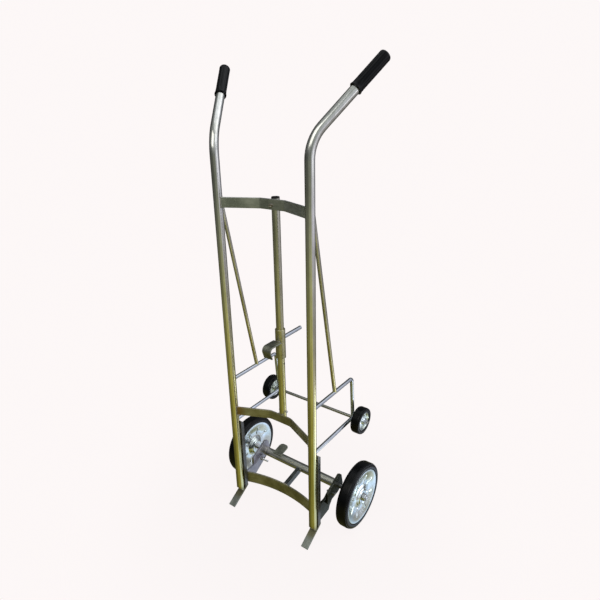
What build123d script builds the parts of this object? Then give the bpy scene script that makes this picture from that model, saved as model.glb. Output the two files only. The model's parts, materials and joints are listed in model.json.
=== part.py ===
from build123d import *

import math
import os

# A two-handled drum dolly of plated steel tube: uprights with raked handles, bowed crossbars that
# cradle a drum, toe bars under its rim, a sliding hook that clips over its chime, two main wheels
# on a through axle and two small trailing wheels that carry the load when it is leaned back.
#
# X runs across the dolly, Y from the drum side to the trailing wheels, Z up from the floor. The
# origin is on the floor in the middle of the footprint. Side views are drawn from the uprights'
# axes: a point (y, z) there is y millimetres behind the uprights and z above the floor.

SIDES = ((-1, "left"), (1, "right"))

# Uprights and handles
UPRIGHT_X = 183.5
UPRIGHT_OD = 30.0
TUBE_WALL = 2.0
BEND_Z = 1432.8
BEND_RADIUS = 120.0
HANDLE_DIRECTION = (0.378, 0.629, 0.679)
GRIP_START = 186.0
GRIP_LENGTH = 127.0
GRIP_END_WALL = 8.0
GRIP_OD = 36.0
GRIP_LIP_OD = 42.0
GRIP_LIP_LENGTH = 6.0

# Toe bars and the leg bars behind the uprights
BAR_WIDTH = 28.0
TOE_THICKNESS = 8.0
TOE_TIP_Y = -55.5
TOE_SLOPE = 32.0
LEG_FRONT_Y = UPRIGHT_OD / 2
LEG_BACK_Y = LEG_FRONT_Y + 17.0
LEG_TOP_Z = 382.5
LEG_TOP_BEVEL = 16.0
FOOT_CUT_Y = 2.0  # the front of each upright's foot is cut back to here, and the cut is closed
FOOT_CUT_SLOPE = 52.0
FOOT_WALL = 3.0
SEAT_DEPTH = 0.4
SEAT_FRONT_Y = FOOT_CUT_Y - 1

# Crossbars: (lowest z, height, half width of the flat middle, bend radius)
BAR_THICKNESS = 6.0
UPPER_BAR = (1219.6, 34.0, 49.7, 14.0)
MIDDLE_BAR = (422.2, 34.8, 46.7, 45.0)
BOW_MIDDLE_Y = 54.75
BOW_END_Y = -6.6
LOWER_BAR_Z = 70.5
LOWER_BAR_HEIGHT = 50.0
LOWER_BAR_MIDDLE_Y = 65.5
LOWER_BAR_RADIUS = 495.0
LOWER_BAR_END_X = 191.0

# Centre tube and the hook that slides on it
CENTRE_TUBE_OD = 27.2
CENTRE_TUBE_Y = BOW_MIDDLE_Y + BAR_THICKNESS / 2 + CENTRE_TUBE_OD / 2
CENTRE_TUBE_Z = (429.0, 1254.0)
CENTRE_TUBE_WALL = 2.5
CAP_HEIGHT = 5.0
CAP_PLUG = 12.0
CAP_CHAMFER = 1.5
STOP_PIN_Z = 466.0
STOP_PIN_OD = 8.0
STOP_PIN_X = (-16.0, 21.0)
LOCK_HOLE_Z = 668.0
LOCK_HOLE_OD = 7.0
SLEEVE_OD = 36.0
SLEEVE_ID = 28.0
SLEEVE_CHAMFER = 0.8
SLEEVE_Z = (690.0, 802.0)
HOOK_WIDTH = 37.0
HOOK_THICKNESS = 5.0
HOOK_TOP_Z = 760.0
HOOK_CURL_RADIUS = 15.0
HOOK_CURL_Y = 8.5
HOOK_CURL_PAST = 20.0
HOOK_LIP = 24.0
HOOK_HANDLE_OD = 14.5
HOOK_HANDLE_Z = 763.0
HOOK_HANDLE_END_Y = 192.0
HOOK_COPE = 1.6  # how far the hook starts inside the sleeve before its end is coped
HANDLE_COPE = 4.0

# Main axle, the arms that carry it and the pieces round it
AXLE_Y = 176.7
AXLE_Z = 129.0
PLATE_THICKNESS = 10.0
ARM_X = 187.0
BRACKET_X = ARM_X - PLATE_THICKNESS
ARM_OUTLINE = ((88, 102), (88, 149), (171, 188), (187, 178), (198, 128), (162, 110))
BRACKET_TOP = ((LEG_BACK_Y, 120.5), (90, 123), (122, 142), (142, 136))
BRACKET_FOOT = {
    "left": ((142, 110), (88, 76), (LEG_BACK_Y, 76)),
    "right": ((142, 96), (118, 70), (112, 54), (LEG_BACK_Y, 44)),
}
PLATE_CORNER = 4.0
ARM_BOLT = (131.0, 123.0)
ARM_BOLT_OD = 8.0
ARM_BOLT_HEAD = (13.0, 5.3)
ARM_NUT_HEIGHT = 6.5
NUT_CHAMFER = 0.6
HEX_CORNER = 0.565  # a hexagon's corners are turned down to this part of its width, as a radius
ARM_BOLT_END_X = {"left": 140.0, "right": 160.0}
AXLE_TUBE_OD = 35.0
AXLE_TUBE_ID = 29.0
AXLE_OD = 20.0
AXLE_SHOULDER_X = 238.0
AXLE_SEAT_OD = 16.0
AXLE_END_X = 312.0
ROUND_END_CHAMFER = 1.2
PEDAL_X = (-139.5, -97.0)
PEDAL_TILT = 12.0
PEDAL_REACH = (-8.0, 54.0)
PEDAL_THICKNESS = 4.0
PEDAL_CORNER = 16.0
LINK_X = 0.8
LINK_WIDTH = 17.0
LINK_HEIGHT = 21.0
LINK_WALL = 2.0
LINK_FRONT_Z = 108.5

# Main wheels
WHEEL_X = 272.0
WHEEL_RADIUS = 129.0
WHEEL_WIDTH = 48.0
WHEEL_SHOULDER = 13.0
RIM_RADIUS = 107.0
RIM_LIP_HALF = 22.5
WEB_HALF = 13.0
WEB_RADIUS = (46.0, 88.0)
RIM_DISH = 9.0
BOSS_RADIUS = 28.0
BOSS_RECESS = 1.0
SHEET = 2.5
BEAD_GAP = 0.5
RIB_COUNT = 8
RIB_WIDTH = 15.0
RIB_HEIGHT = 4.0
BUSH_OD = 26.0
BUSH_X = (240.3, 297.0)
RUNNING_CLEARANCE = 0.05
WASHER_OD = 32.0
WASHER_THICKNESS = 2.0
WHEEL_GAP = 0.4
AXLE_NUT = (24.0, 9.0)

# Side frames behind the uprights and the trailing wheels
ROD_OD = 14.0
UPPER_ROD_Z = 572.5
REAR_CORNER_Y = 261.6
REAR_BEND_RADIUS = 14.0
REAR_AXLE_Y = 277.4
REAR_AXLE_Z = 391.0
REAR_AXLE_OD = 12.0
REAR_AXLE_END_X = 250.0
LOWER_ROD_Z = REAR_AXLE_Z + REAR_AXLE_OD / 2 - ROD_OD / 2
STAY_TOP = (15.0, 1224.7)
STAY_FOOT = (142.3, 574.0)
STAY_COPE = 0.055  # how much longer each stay starts out than its line, before it is coped
ROD_COPE = 2.0
ROD_OVERRUN = 10.0
REAR_WHEEL_X = 219.3
REAR_WHEEL_RADIUS = 52.6
REAR_WHEEL_WIDTH = 36.0
REAR_WHEEL_SHOULDER = 8.0
REAR_HUB_RADIUS = 36.0
REAR_RIM_HALF = (13.0, 15.5)
REAR_RIM_DEPTH = 5.0
REAR_WEB_HALF = 9.0
REAR_BOSS_WALL = (4.0, 7.0)
REAR_BUSH_OD = 18.0
REAR_BUSH_HALF = 19.5
REAR_BOSS_RECESS = 0.5
REAR_SPACER_GAP = 0.5
REAR_WASHER_OD = 22.0
REAR_NUT = (19.0, 6.5)

# Worked out from the above
TOE_SIN = math.sin(math.radians(TOE_SLOPE))
TOE_COS = math.cos(math.radians(TOE_SLOPE))
FRONT_Y = TOE_TIP_Y - TOE_THICKNESS * TOE_SIN
BACK_Y = REAR_AXLE_Y + REAR_WHEEL_RADIUS
UPRIGHT_Y = -(FRONT_Y + BACK_Y) / 2


def side_plane(x):
    """The side view at x: local X is distance behind the uprights, local Y is height."""
    return Plane(origin=(x, UPRIGHT_Y, 0), x_dir=(0, 1, 0), z_dir=(1, 0, 0))


def level_plane(z):
    """The plan view at height z, measured from the uprights' axes."""
    return Plane(origin=(0, UPRIGHT_Y, z), x_dir=(1, 0, 0), z_dir=(0, 0, 1))


def toe_top(y):
    """Height of the toe bars' sloping top face."""
    return (y - TOE_TIP_Y) * TOE_SIN / TOE_COS + TOE_THICKNESS / TOE_COS


def seat_top(y):
    """Height of the shallow seat in a toe bar, where the upright and the leg bar stand."""
    return toe_top(y) - SEAT_DEPTH / TOE_COS


def axis_plane(x, axis):
    """A plane across X at x, with its origin on the axis (y, z)."""
    return Plane(origin=(x, UPRIGHT_Y + axis[0], axis[1]), x_dir=(0, 1, 0), z_dir=(1, 0, 0))


def save(builder, label):
    builder.part.label = label
    export_step(builder.part, f"parts/{label}.step")


def plate(points, x_middle, width):
    """A plate or bar cut to an outline seen from the side."""
    with BuildPart() as piece:
        with BuildSketch(side_plane(x_middle)):
            with BuildLine():
                Polyline(*points, close=True)
            make_face()
        extrude(amount=width / 2, both=True)
    return piece


def ring(x_from, x_to, axis, outer, inner=0.0):
    """A round shaft, tube or washer along X, round the axis (y, z)."""
    with BuildPart() as piece:
        with BuildSketch(axis_plane(x_from, axis)):
            Circle(outer / 2)
            if inner:
                Circle(inner / 2, mode=Mode.SUBTRACT)
        extrude(amount=x_to - x_from)
    return piece


def hex_nut(x_from, x_to, axis, across_flats, bore):
    """A hexagon nut along X with its outer corners chamfered."""
    start = axis_plane(x_from, axis)
    with BuildPart() as piece:
        with BuildSketch(start):
            RegularPolygon(across_flats / 2, 6, major_radius=False)
        extrude(amount=x_to - x_from)
        with BuildSketch(start):
            Circle(across_flats * HEX_CORNER)
        extrude(amount=x_to - x_from, mode=Mode.INTERSECT)
        chamfer(piece.edges().filter_by(GeomType.CIRCLE), length=NUT_CHAMFER)
        with BuildSketch(start):
            Circle(bore / 2)
        extrude(amount=x_to - x_from, mode=Mode.SUBTRACT)
    return piece


def spun(points, x_middle, axis, outward):
    """A wheel part spun round an axle from an outline of (distance from x_middle, radius)."""
    centre = Vector(x_middle, UPRIGHT_Y + axis[0], axis[1])
    section = Plane(origin=centre, x_dir=(outward, 0, 0), z_dir=(0, outward, 0))
    with BuildPart() as piece:
        with BuildSketch(section):
            with BuildLine():
                Polyline(*points, close=True)
            make_face()
        revolve(axis=Axis(centre, (1, 0, 0)))
    return piece


def core(plane, diameter, length):
    """A solid round bar, for coping another piece against a tube or a rod."""
    with BuildPart() as bar:
        with BuildSketch(plane):
            Circle(diameter / 2)
        extrude(amount=length)
    return bar.part


def upright_core(side):
    """The straight part of an upright, filled in."""
    return core(Plane(origin=(side * UPRIGHT_X, UPRIGHT_Y, 0)), UPRIGHT_OD, BEND_Z - BEND_RADIUS)


def handle_point(side, distance):
    """A point on a handle's axis, that far past the corner above its upright."""
    along = Vector(side * HANDLE_DIRECTION[0], HANDLE_DIRECTION[1], HANDLE_DIRECTION[2])
    return Vector(side * UPRIGHT_X, UPRIGHT_Y, BEND_Z) + along.normalized() * distance


def make_upright(side, name):
    foot = Vector(side * UPRIGHT_X, UPRIGHT_Y, 0)
    tube_end = GRIP_START + GRIP_LENGTH - GRIP_END_WALL
    seat = Plane(origin=(0, UPRIGHT_Y, seat_top(0)), x_dir=(1, 0, 0), z_dir=(0, -TOE_SIN, TOE_COS))
    cut_slope = math.radians(FOOT_CUT_SLOPE)
    cut = Plane(
        origin=(0, UPRIGHT_Y + FOOT_CUT_Y, seat_top(FOOT_CUT_Y)),
        x_dir=(1, 0, 0),
        z_dir=(0, math.sin(cut_slope), math.cos(cut_slope)),
    )
    with BuildPart() as foot_wall:
        add(upright_core(side))
        split(bisect_by=seat, keep=Keep.TOP)
        split(bisect_by=cut, keep=Keep.TOP)
        split(bisect_by=cut.offset(FOOT_WALL), keep=Keep.BOTTOM)
    with BuildPart() as upright:
        with BuildLine():
            FilletPolyline(foot, handle_point(side, 0), handle_point(side, tube_end), radius=BEND_RADIUS)
        with BuildSketch(Plane(origin=foot)):
            Circle(UPRIGHT_OD / 2)
            Circle(UPRIGHT_OD / 2 - TUBE_WALL, mode=Mode.SUBTRACT)
        sweep()
        split(bisect_by=seat, keep=Keep.TOP)
        split(bisect_by=cut, keep=Keep.TOP)
        add(foot_wall.part)
    save(upright, f"upright_{name}")


def make_grip(side, name):
    start = handle_point(side, GRIP_START)
    along = (handle_point(side, GRIP_START + 1) - start).normalized()
    section = Plane(origin=start, x_dir=along, z_dir=along.cross(Vector(0, 0, 1)))
    lip = GRIP_LIP_OD / 2
    body = GRIP_OD / 2
    inside = GRIP_LENGTH - GRIP_END_WALL
    with BuildPart() as grip:
        with BuildSketch(section):
            with BuildLine():
                Polyline((0, UPRIGHT_OD / 2), (0, lip - 1), (1, lip), (GRIP_LIP_LENGTH - 1, lip))
                Polyline((GRIP_LIP_LENGTH - 1, lip), (GRIP_LIP_LENGTH + 2, body), (GRIP_LENGTH - 6, body))
                RadiusArc((GRIP_LENGTH - 6, body), (GRIP_LENGTH, body - 6), 6)
                Polyline((GRIP_LENGTH, body - 6), (GRIP_LENGTH, 0), (inside, 0))
                Polyline((inside, 0), (inside, UPRIGHT_OD / 2), (0, UPRIGHT_OD / 2))
            make_face()
        revolve(axis=Axis(start, along))
    save(grip, f"grip_{name}")


def make_bowed_bar(name, low_z, height, flat_half, bend_radius):
    uprights = [upright_core(side) for side, _ in SIDES]
    with BuildPart() as bar:
        with BuildSketch(level_plane(low_z)):
            with BuildLine() as bow:
                FilletPolyline(
                    (-UPRIGHT_X, BOW_END_Y),
                    (-flat_half, BOW_MIDDLE_Y),
                    (flat_half, BOW_MIDDLE_Y),
                    (UPRIGHT_X, BOW_END_Y),
                    radius=bend_radius,
                )
            trace(bow.line, BAR_THICKNESS)
        extrude(amount=height)
        add(uprights, mode=Mode.SUBTRACT)
    save(bar, name)


def lower_crossbar():
    """A bar bent to an arc, its ends ground flat against the leg bars."""
    reach = LOWER_BAR_END_X + 5
    end_y = LOWER_BAR_MIDDLE_Y - LOWER_BAR_RADIUS + math.sqrt(LOWER_BAR_RADIUS**2 - reach**2)
    with BuildPart() as bar:
        with BuildSketch(level_plane(LOWER_BAR_Z)):
            with BuildLine() as bow:
                ThreePointArc((-reach, end_y), (0, LOWER_BAR_MIDDLE_Y), (reach, end_y))
            trace(bow.line, BAR_THICKNESS)
            with Locations((0, LEG_BACK_Y)):
                Rectangle(2 * LOWER_BAR_END_X, 60, align=(Align.CENTER, Align.MIN), mode=Mode.INTERSECT)
        extrude(amount=LOWER_BAR_HEIGHT)
    return bar


def make_centre_tube():
    low_z, high_z = CENTRE_TUBE_Z
    inner_radius = CENTRE_TUBE_OD / 2 - CENTRE_TUBE_WALL
    with BuildPart() as tube:
        with BuildSketch(level_plane(low_z)):
            with Locations((0, CENTRE_TUBE_Y)):
                Circle(CENTRE_TUBE_OD / 2)
                Circle(inner_radius, mode=Mode.SUBTRACT)
        extrude(amount=high_z - low_z)
        with BuildSketch(side_plane(-CENTRE_TUBE_OD)):
            with Locations((CENTRE_TUBE_Y, STOP_PIN_Z)):
                Circle(STOP_PIN_OD / 2)
            with Locations((CENTRE_TUBE_Y, LOCK_HOLE_Z)):
                Circle(LOCK_HOLE_OD / 2)
        extrude(amount=2 * CENTRE_TUBE_OD, mode=Mode.SUBTRACT)
    save(tube, "centre_tube")

    with BuildPart() as cap:
        with BuildSketch(level_plane(high_z)):
            with Locations((0, CENTRE_TUBE_Y)):
                Circle(CENTRE_TUBE_OD / 2)
        extrude(amount=CAP_HEIGHT)
        chamfer(cap.edges().group_by(Axis.Z)[-1], length=CAP_CHAMFER)
        with BuildSketch(level_plane(high_z)):
            with Locations((0, CENTRE_TUBE_Y)):
                Circle(inner_radius)
        extrude(amount=-CAP_PLUG)
    save(cap, "centre_tube_cap")

    stop_pin = ring(*STOP_PIN_X, (CENTRE_TUBE_Y, STOP_PIN_Z), STOP_PIN_OD)
    save(stop_pin, "stop_pin")


def make_hook():
    low_z, high_z = SLEEVE_Z
    with BuildPart() as sleeve:
        with BuildSketch(level_plane(low_z)):
            with Locations((0, CENTRE_TUBE_Y)):
                Circle(SLEEVE_OD / 2)
                Circle(SLEEVE_ID / 2, mode=Mode.SUBTRACT)
        extrude(amount=high_z - low_z)
        chamfer(sleeve.edges().filter_by(GeomType.CIRCLE).group_by(SortBy.RADIUS)[-1], length=SLEEVE_CHAMFER)
    save(sleeve, "hook_sleeve")

    middle_z = HOOK_TOP_Z - HOOK_THICKNESS / 2
    curl_z = middle_z - HOOK_CURL_RADIUS
    past = math.radians(HOOK_CURL_PAST)
    nose = (HOOK_CURL_Y - HOOK_CURL_RADIUS, curl_z)
    curl_end = (
        HOOK_CURL_Y - HOOK_CURL_RADIUS * math.cos(past),
        curl_z - HOOK_CURL_RADIUS * math.sin(past),
    )
    lip_end = (curl_end[0] + HOOK_LIP * math.sin(past), curl_end[1] - HOOK_LIP * math.cos(past))
    weld_y = CENTRE_TUBE_Y - SLEEVE_OD / 2 + HOOK_COPE
    sleeve_plane = Plane(origin=(0, UPRIGHT_Y + CENTRE_TUBE_Y, low_z))
    sleeve_core = core(sleeve_plane, SLEEVE_OD, high_z - low_z)
    with BuildPart() as hook:
        with BuildSketch(side_plane(0)):
            with BuildLine() as bend:
                Line((weld_y, middle_z), (HOOK_CURL_Y, middle_z))
                ThreePointArc(
                    (HOOK_CURL_Y, middle_z),
                    (
                        HOOK_CURL_Y - HOOK_CURL_RADIUS * math.sin(past),
                        curl_z + HOOK_CURL_RADIUS * math.cos(past),
                    ),
                    nose,
                )
                ThreePointArc(
                    nose,
                    (
                        HOOK_CURL_Y - HOOK_CURL_RADIUS * math.cos(past / 2),
                        curl_z - HOOK_CURL_RADIUS * math.sin(past / 2),
                    ),
                    curl_end,
                )
                Line(curl_end, lip_end)
            trace(bend.line, HOOK_THICKNESS)
        extrude(amount=HOOK_WIDTH / 2, both=True)
        add(sleeve_core, mode=Mode.SUBTRACT)
    save(hook, "hook_plate")

    start_y = CENTRE_TUBE_Y + SLEEVE_OD / 2 - HANDLE_COPE
    rod_plane = Plane(origin=(0, UPRIGHT_Y + start_y, HOOK_HANDLE_Z), x_dir=(1, 0, 0), z_dir=(0, 1, 0))
    with BuildPart() as handle:
        with BuildSketch(rod_plane):
            Circle(HOOK_HANDLE_OD / 2)
        extrude(amount=HOOK_HANDLE_END_Y - start_y)
        chamfer(handle.edges().group_by(Axis.Y)[-1], length=ROUND_END_CHAMFER)
        add(sleeve_core, mode=Mode.SUBTRACT)
    save(handle, "hook_handle")


def make_leg(side, name):
    """The flat bar welded behind an upright, and the toe bar that its foot stands on."""
    x = side * UPRIGHT_X
    leg_points = (
        (LEG_FRONT_Y, seat_top(LEG_FRONT_Y)),
        (LEG_BACK_Y, seat_top(LEG_BACK_Y)),
        (LEG_BACK_Y, LEG_TOP_Z - LEG_TOP_BEVEL),
        (LEG_FRONT_Y, LEG_TOP_Z),
    )
    save(plate(leg_points, x, BAR_WIDTH), f"leg_bar_{name}")

    toe_points = (
        (TOE_TIP_Y, 0),
        (LEG_BACK_Y, toe_top(LEG_BACK_Y) - TOE_THICKNESS / TOE_COS),
        (LEG_BACK_Y, seat_top(LEG_BACK_Y)),
        (SEAT_FRONT_Y, seat_top(SEAT_FRONT_Y)),
        (SEAT_FRONT_Y, toe_top(SEAT_FRONT_Y)),
        (FRONT_Y, TOE_THICKNESS * TOE_COS),
    )
    save(plate(toe_points, x, BAR_WIDTH), f"toe_bar_{name}")


def make_axle_arm(side, name, crossbar):
    """The plate that carries the axle, the bracket that holds it and the bolt between them."""
    arm = plate(ARM_OUTLINE, side * ARM_X, PLATE_THICKNESS)
    bracket = plate(BRACKET_TOP + BRACKET_FOOT[name], side * BRACKET_X, PLATE_THICKNESS)
    inner_x = BRACKET_X - PLATE_THICKNESS / 2
    outer_x = ARM_X + PLATE_THICKNESS / 2
    drill_x = side * ARM_X - 2 * PLATE_THICKNESS
    bolt_hole = core(axis_plane(drill_x, ARM_BOLT), ARM_BOLT_OD, 4 * PLATE_THICKNESS)
    axle_hole = core(axis_plane(drill_x, (AXLE_Y, AXLE_Z)), AXLE_OD, 4 * PLATE_THICKNESS)
    with BuildPart() as bored_arm:
        add(arm.part)
        fillet(bored_arm.edges().filter_by(Axis.X), radius=PLATE_CORNER)
        add([bolt_hole, axle_hole], mode=Mode.SUBTRACT)
    save(bored_arm, f"axle_arm_{name}")

    with BuildPart() as bored_bracket:
        add(bracket.part)
        fillet(bored_bracket.edges().filter_by(Axis.X).sort_by(Axis.Y)[3:], radius=PLATE_CORNER)
        add([bolt_hole, crossbar.part], mode=Mode.SUBTRACT)
    save(bored_bracket, f"arm_bracket_{name}")

    head_flats, head_height = ARM_BOLT_HEAD
    with BuildPart() as bolt:
        with BuildSketch(axis_plane(side * outer_x, ARM_BOLT)):
            RegularPolygon(head_flats / 2, 6, major_radius=False)
        extrude(amount=side * head_height)
        with BuildSketch(axis_plane(side * outer_x, ARM_BOLT)):
            Circle(ARM_BOLT_OD / 2)
        extrude(amount=side * (ARM_BOLT_END_X[name] - outer_x))
    save(bolt, f"arm_bolt_{name}")

    nut_ends = sorted((side * inner_x, side * (inner_x - ARM_NUT_HEIGHT)))
    save(hex_nut(*nut_ends, ARM_BOLT, head_flats, ARM_BOLT_OD), f"arm_nut_{name}")


def make_axle():
    inner_x = ARM_X - PLATE_THICKNESS / 2
    axis = (AXLE_Y, AXLE_Z)
    save(ring(-inner_x, inner_x, axis, AXLE_TUBE_OD, AXLE_TUBE_ID), "axle_tube")

    with BuildPart() as axle:
        with BuildSketch(axis_plane(0, axis)):
            Circle(AXLE_OD / 2)
        extrude(amount=AXLE_SHOULDER_X, both=True)
        with BuildSketch(axis_plane(0, axis)):
            Circle(AXLE_SEAT_OD / 2)
        extrude(amount=AXLE_END_X, both=True)
        chamfer(axle.edges().group_by(Axis.X)[0], length=ROUND_END_CHAMFER)
        chamfer(axle.edges().group_by(Axis.X)[-1], length=ROUND_END_CHAMFER)
    save(axle, "main_axle")


def make_pedal():
    """A plate that touches the top of the axle tube and rises a little towards the rear."""
    tilt = math.radians(PEDAL_TILT)
    radius = AXLE_TUBE_OD / 2
    touch = (AXLE_Y - radius * math.sin(tilt), AXLE_Z + radius * math.cos(tilt))
    rest = Plane(
        origin=(0, UPRIGHT_Y + touch[0], touch[1]), x_dir=(1, 0, 0), z_dir=(0, -math.sin(tilt), math.cos(tilt))
    )
    width = PEDAL_X[1] - PEDAL_X[0]
    length = PEDAL_REACH[1] - PEDAL_REACH[0]
    with BuildPart() as pedal:
        with BuildSketch(rest) as outline:
            with Locations((PEDAL_X[0], PEDAL_REACH[0])):
                Rectangle(width, length, align=(Align.MIN, Align.MIN))
            fillet(outline.vertices().group_by(Axis.Y)[-1], radius=PEDAL_CORNER)
        extrude(amount=PEDAL_THICKNESS)
    save(pedal, "foot_pedal")


def make_centre_link():
    """A rectangular tube that rises from the lower crossbar back to the axle tube."""
    front_y = LOWER_BAR_MIDDLE_Y + BAR_THICKNESS / 2
    lean = Vector(0, AXLE_Y - front_y, AXLE_Z - LINK_FRONT_Z).normalized()
    start = Vector(LINK_X, UPRIGHT_Y + front_y, LINK_FRONT_Z) - lean * LINK_HEIGHT
    axle_core = core(axis_plane(-2 * LINK_WIDTH, (AXLE_Y, AXLE_Z)), AXLE_TUBE_OD, 4 * LINK_WIDTH)
    with BuildPart() as link:
        with BuildSketch(Plane(origin=start, x_dir=(1, 0, 0), z_dir=lean)):
            Rectangle(LINK_WIDTH, LINK_HEIGHT)
            Rectangle(LINK_WIDTH - 2 * LINK_WALL, LINK_HEIGHT - 2 * LINK_WALL, mode=Mode.SUBTRACT)
        extrude(amount=LINK_HEIGHT + AXLE_Y - AXLE_TUBE_OD / 4 - front_y)
        split(bisect_by=Plane(origin=(0, UPRIGHT_Y + front_y, 0), z_dir=(0, 1, 0)), keep=Keep.TOP)
        add(axle_core, mode=Mode.SUBTRACT)
    save(link, "centre_link")


def tyre_outline(radius, width, shoulder, rim_radius, bead):
    """Half section of a solid tyre: rounded shoulders outside, and bead points inside the rim."""
    half = width / 2
    steps = 6
    corner = [
        (
            half - shoulder + shoulder * math.sin(math.pi / 2 * i / steps),
            radius - shoulder + shoulder * math.cos(math.pi / 2 * i / steps),
        )
        for i in range(steps + 1)
    ]
    right = corner + [(half, rim_radius + BEAD_GAP)] + list(bead)
    left = [(-x, r) for x, r in reversed(right)]
    return right + left


def make_main_wheel(side, name):
    axis = (AXLE_Y, AXLE_Z)
    x = side * WHEEL_X
    lip_inner = RIM_LIP_HALF - SHEET
    bead = (
        (RIM_LIP_HALF - 1, RIM_RADIUS + BEAD_GAP),
        (RIM_LIP_HALF - 1, RIM_RADIUS),
        (lip_inner, RIM_RADIUS),
        (lip_inner, WEB_RADIUS[1] + RIM_DISH),
        (WEB_HALF - SHEET, WEB_RADIUS[1]),
    )
    outline = tyre_outline(WHEEL_RADIUS, WHEEL_WIDTH, WHEEL_SHOULDER, RIM_RADIUS, bead)
    save(spun(outline, x, axis, side), f"main_tyre_{name}")

    boss_half = {
        "outer": BUSH_X[1] - WHEEL_X - BOSS_RECESS,
        "inner": WHEEL_X - BUSH_X[0] - BOSS_RECESS,
    }
    for face, outward in (("outer", side), ("inner", -side)):
        boss = boss_half[face]
        disc_points = (
            (lip_inner, RIM_RADIUS),
            (RIM_LIP_HALF, RIM_RADIUS),
            (RIM_LIP_HALF, WEB_RADIUS[1] + RIM_DISH - 1),
            (WEB_HALF, WEB_RADIUS[1] - 1),
            (WEB_HALF, WEB_RADIUS[0]),
            (boss, BOSS_RADIUS),
            (boss, BUSH_OD / 2),
            (boss - SHEET, BUSH_OD / 2),
            (boss - SHEET, BOSS_RADIUS - 1),
            (WEB_HALF - SHEET, WEB_RADIUS[0] - 1),
            (WEB_HALF - SHEET, WEB_RADIUS[1]),
            (lip_inner, WEB_RADIUS[1] + RIM_DISH),
        )
        disc = spun(disc_points, x, axis, outward)
        face_plane = Plane(
            origin=(x + outward * (WEB_HALF - 0.5), UPRIGHT_Y + AXLE_Y, AXLE_Z),
            x_dir=(0, 1, 0),
            z_dir=(outward, 0, 0),
        )
        with BuildPart() as hub:
            add(disc.part)
            with BuildSketch(face_plane):
                with PolarLocations((WEB_RADIUS[0] + WEB_RADIUS[1]) / 2, RIB_COUNT):
                    SlotOverall(WEB_RADIUS[1] - WEB_RADIUS[0] + 2, RIB_WIDTH)
            extrude(amount=RIB_HEIGHT)
        save(hub, f"main_hub_{face}_{name}")

    bore = AXLE_SEAT_OD + 2 * RUNNING_CLEARANCE
    bush_ends = sorted(side * x_end for x_end in BUSH_X)
    save(ring(*bush_ends, axis, BUSH_OD, bore), f"main_bush_{name}")

    outer_washer = BUSH_X[1] + WHEEL_GAP
    with BuildPart() as washers:
        for washer_x in (AXLE_SHOULDER_X, outer_washer):
            with BuildSketch(axis_plane(side * washer_x, axis)):
                Circle(WASHER_OD / 2)
                Circle(AXLE_SEAT_OD / 2, mode=Mode.SUBTRACT)
            extrude(amount=side * (WASHER_THICKNESS if washer_x > WHEEL_X else WASHER_THICKNESS - 0.1))
    save(washers, f"main_washers_{name}")

    nut_x = outer_washer + WASHER_THICKNESS
    nut_ends = sorted((side * nut_x, side * (nut_x + AXLE_NUT[1])))
    save(hex_nut(*nut_ends, axis, AXLE_NUT[0], AXLE_SEAT_OD), f"main_nut_{name}")


def make_side_frame(side, name):
    """The bent rod behind an upright, the lower rod below it and the stay above it."""
    x = side * UPRIGHT_X
    upright = upright_core(side)
    upper_rod = core(Plane(origin=(x, UPRIGHT_Y, UPPER_ROD_Z), z_dir=(0, 1, 0)), ROD_OD, REAR_CORNER_Y)
    axle = core(axis_plane(x - ROD_OD, (REAR_AXLE_Y, REAR_AXLE_Z)), REAR_AXLE_OD, 2 * ROD_OD)
    drop_y = REAR_AXLE_Y + (REAR_AXLE_Y - REAR_CORNER_Y) * ROD_OVERRUN / (UPPER_ROD_Z - REAR_AXLE_Z)
    with BuildPart() as bent_rod:
        with BuildLine():
            FilletPolyline(
                (x, UPRIGHT_Y, UPPER_ROD_Z),
                (x, UPRIGHT_Y + REAR_CORNER_Y, UPPER_ROD_Z),
                (x, UPRIGHT_Y + drop_y, REAR_AXLE_Z - ROD_OVERRUN),
                radius=REAR_BEND_RADIUS,
            )
        with BuildSketch(Plane(origin=(x, UPRIGHT_Y, UPPER_ROD_Z), z_dir=(0, 1, 0))):
            Circle(ROD_OD / 2)
        sweep()
        split(bisect_by=Plane.XY.offset(REAR_AXLE_Z + REAR_AXLE_OD / 2), keep=Keep.TOP)
        add(upright, mode=Mode.SUBTRACT)
    save(bent_rod, f"rear_rod_{name}")

    with BuildPart() as lower_rod:
        with BuildSketch(Plane(origin=(x, UPRIGHT_Y, LOWER_ROD_Z), z_dir=(0, 1, 0))):
            Circle(ROD_OD / 2)
        extrude(amount=REAR_AXLE_Y - ROD_COPE)
        add(upright, mode=Mode.SUBTRACT)
        add(axle, mode=Mode.SUBTRACT)
    save(lower_rod, f"lower_rod_{name}")

    lean = Vector(0, STAY_FOOT[0] - STAY_TOP[0], STAY_FOOT[1] - STAY_TOP[1])
    top = Vector(x, UPRIGHT_Y + STAY_TOP[0], STAY_TOP[1]) - lean * STAY_COPE
    with BuildPart() as stay:
        with BuildSketch(Plane(origin=top, z_dir=lean)):
            Circle(ROD_OD / 2)
        extrude(amount=lean.length * (1 + STAY_COPE))
        add(upright, mode=Mode.SUBTRACT)
        add(upper_rod, mode=Mode.SUBTRACT)
    save(stay, f"stay_{name}")


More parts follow.
